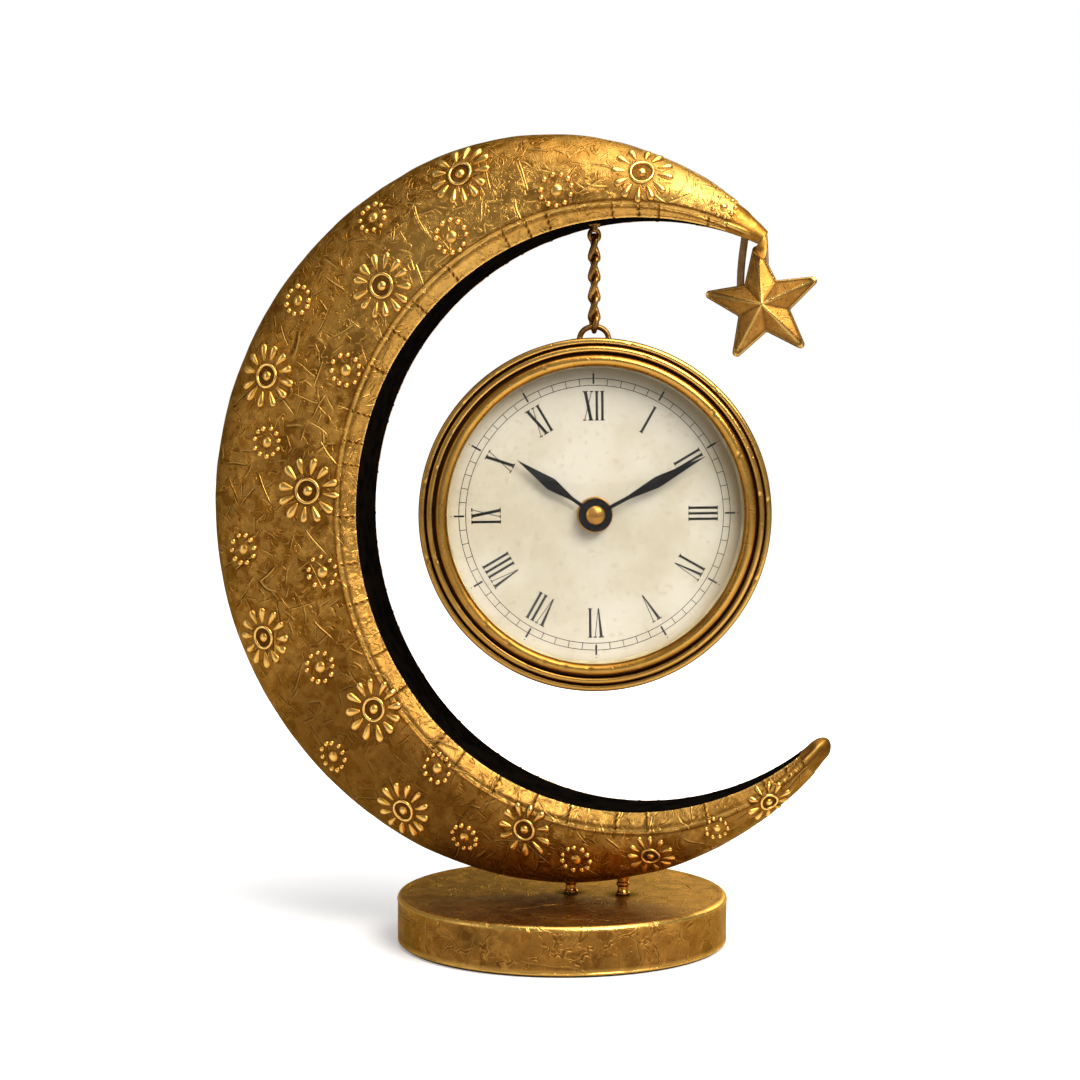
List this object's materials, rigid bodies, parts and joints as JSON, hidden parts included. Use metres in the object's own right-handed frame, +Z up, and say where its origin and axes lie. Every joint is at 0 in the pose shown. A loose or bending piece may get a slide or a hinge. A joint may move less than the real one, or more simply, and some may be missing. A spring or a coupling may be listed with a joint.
{
  "type": "desk clock",
  "caption": "Round quartz clock hung on a short chain inside a hollow brass crescent stand, with a hanging star and a weighted disc base.",
  "frame": {"origin": "centre of the base's underside, where the felt rests on the table", "axes": "+Z up, +X to the right seen from the front, +Y to the back"},
  "size_m": [0.2589, 0.136, 0.3303],
  "materials": {
    "base_brass": "hammered, aged",
    "weight_iron": "raw",
    "base_felt": "felt",
    "fastener_steel": "zinc plated",
    "collar_brass": "turned",
    "hull_brass": "hammered, aged",
    "liner_patina": "blackened",
    "block_iron": "raw",
    "tip_brass": "cast, aged",
    "star_brass": "aged, bright ridges",
    "strap_brass": "aged",
    "chain_brass": "aged",
    "case_brass": "aged",
    "bezel_brass": "aged, bright ridges",
    "crystal": "polished",
    "reveal_paint": "matt black",
    "dial_print": "printed, aged cream",
    "movement_plastic": "moulded",
    "cell_jacket": "wrapped",
    "spring_steel": "plated",
    "washer_brass": "turned",
    "arbor_brass": "turned",
    "gear_plastic": "moulded",
    "knob_plastic": "moulded",
    "hand_paint": "black",
    "cap_brass": "polished, worn"
  },
  "bodies": {
    "stand": {"base_shell": "base_brass", "base_weight": "weight_iron", "base_felt": "base_felt", "stand_studs": "fastener_steel", "stud_collars": "collar_brass", "stud_nuts": "fastener_steel", "crescent_front_shell": "hull_brass", "crescent_back_shell": "hull_brass", "crescent_liner": "liner_patina", "anchor_block": "block_iron", "upper_tip": "tip_brass", "lower_tip": "tip_brass", "star_pin": "strap_brass", "chain_eye": "chain_brass", "eye_nut": "fastener_steel"},
    "star": {"star_front": "star_brass", "star_back": "star_brass", "star_strap": "strap_brass"},
    "link_1": {"chain_link_1": "chain_brass"},
    "link_2": {"chain_link_2": "chain_brass"},
    "link_3": {"chain_link_3": "chain_brass"},
    "link_4": {"chain_link_4": "chain_brass"},
    "link_5": {"end_link": "chain_brass"},
    "clock": {"clock_bail": "chain_brass", "clock_case": "case_brass", "bezel": "bezel_brass", "glass": "crystal", "dial_ring": "reveal_paint", "dial": "dial_print", "back_cover": "case_brass", "cover_screws": "fastener_steel", "movement_front": "movement_plastic", "movement_back": "movement_plastic", "dry_cell": "cell_jacket", "cell_contacts": "spring_steel", "dial_washer": "washer_brass", "neck_nut": "washer_brass"},
    "minute": {"minute_arbor": "arbor_brass", "minute_hand": "hand_paint", "hand_cap": "cap_brass"},
    "hour": {"hour_wheel": "gear_plastic", "hour_hand": "hand_paint"},
    "idler": {"idler_wheel": "gear_plastic", "setting_knob": "knob_plastic"}
  },
  "joints": [
    {"name": "chain_swing_top", "type": "hinge", "parent": "stand", "child": "link_1", "pos_m": [0.0132, 0, 0.28822], "axis": [0, 1, 0], "range_deg": [-4, 4]},
    {"name": "chain_nod_top", "type": "hinge", "parent": "link_1", "child": "link_2", "pos_m": [0.0132, 0, 0.28012], "axis": [1, 0, 0], "range_deg": [-8, 8]},
    {"name": "chain_twist", "type": "hinge", "parent": "link_2", "child": "link_3", "pos_m": [0.0132, 0, 0.27202], "axis": [0, 0, 1], "range_deg": [-8, 18]},
    {"name": "chain_swing_low", "type": "hinge", "parent": "link_3", "child": "link_4", "pos_m": [0.0132, 0, 0.26392], "axis": [0, 1, 0], "range_deg": [-4, 4]},
    {"name": "chain_nod_low", "type": "hinge", "parent": "link_4", "child": "link_5", "pos_m": [0.0132, 0, 0.25582], "axis": [1, 0, 0], "range_deg": [-8, 8]},
    {"name": "clock_nod", "type": "hinge", "parent": "link_5", "child": "clock", "pos_m": [0.0132, 0, 0.25267], "axis": [0.9724, 0.2334, 0], "range_deg": [-8, 8]},
    {"name": "minute_turn", "type": "hinge", "parent": "clock", "child": "minute", "pos_m": [0.0132, 0, 0.1762], "axis": [0.2334, -0.9724, 0], "continuous": true},
    {"name": "hour_turn", "type": "hinge", "parent": "clock", "child": "hour", "pos_m": [0.0132, 0, 0.1762], "axis": [0.2334, -0.9724, 0], "continuous": true},
    {"name": "idler_turn", "type": "hinge", "parent": "clock", "child": "idler", "pos_m": [0.01806, 0.00117, 0.18486], "axis": [0.2334, -0.9724, 0], "continuous": true},
    {"name": "star_swing", "type": "hinge", "parent": "stand", "child": "star", "pos_m": [0.07869, 0.006, 0.28851], "axis": [0, 1, 0], "range_deg": [-7, 7]}
  ],
  "couplings": [
    {"joint": "hour_turn", "follows": "minute_turn", "ratio": 0.083333},
    {"joint": "idler_turn", "follows": "minute_turn", "ratio": -0.33333}
  ]
}
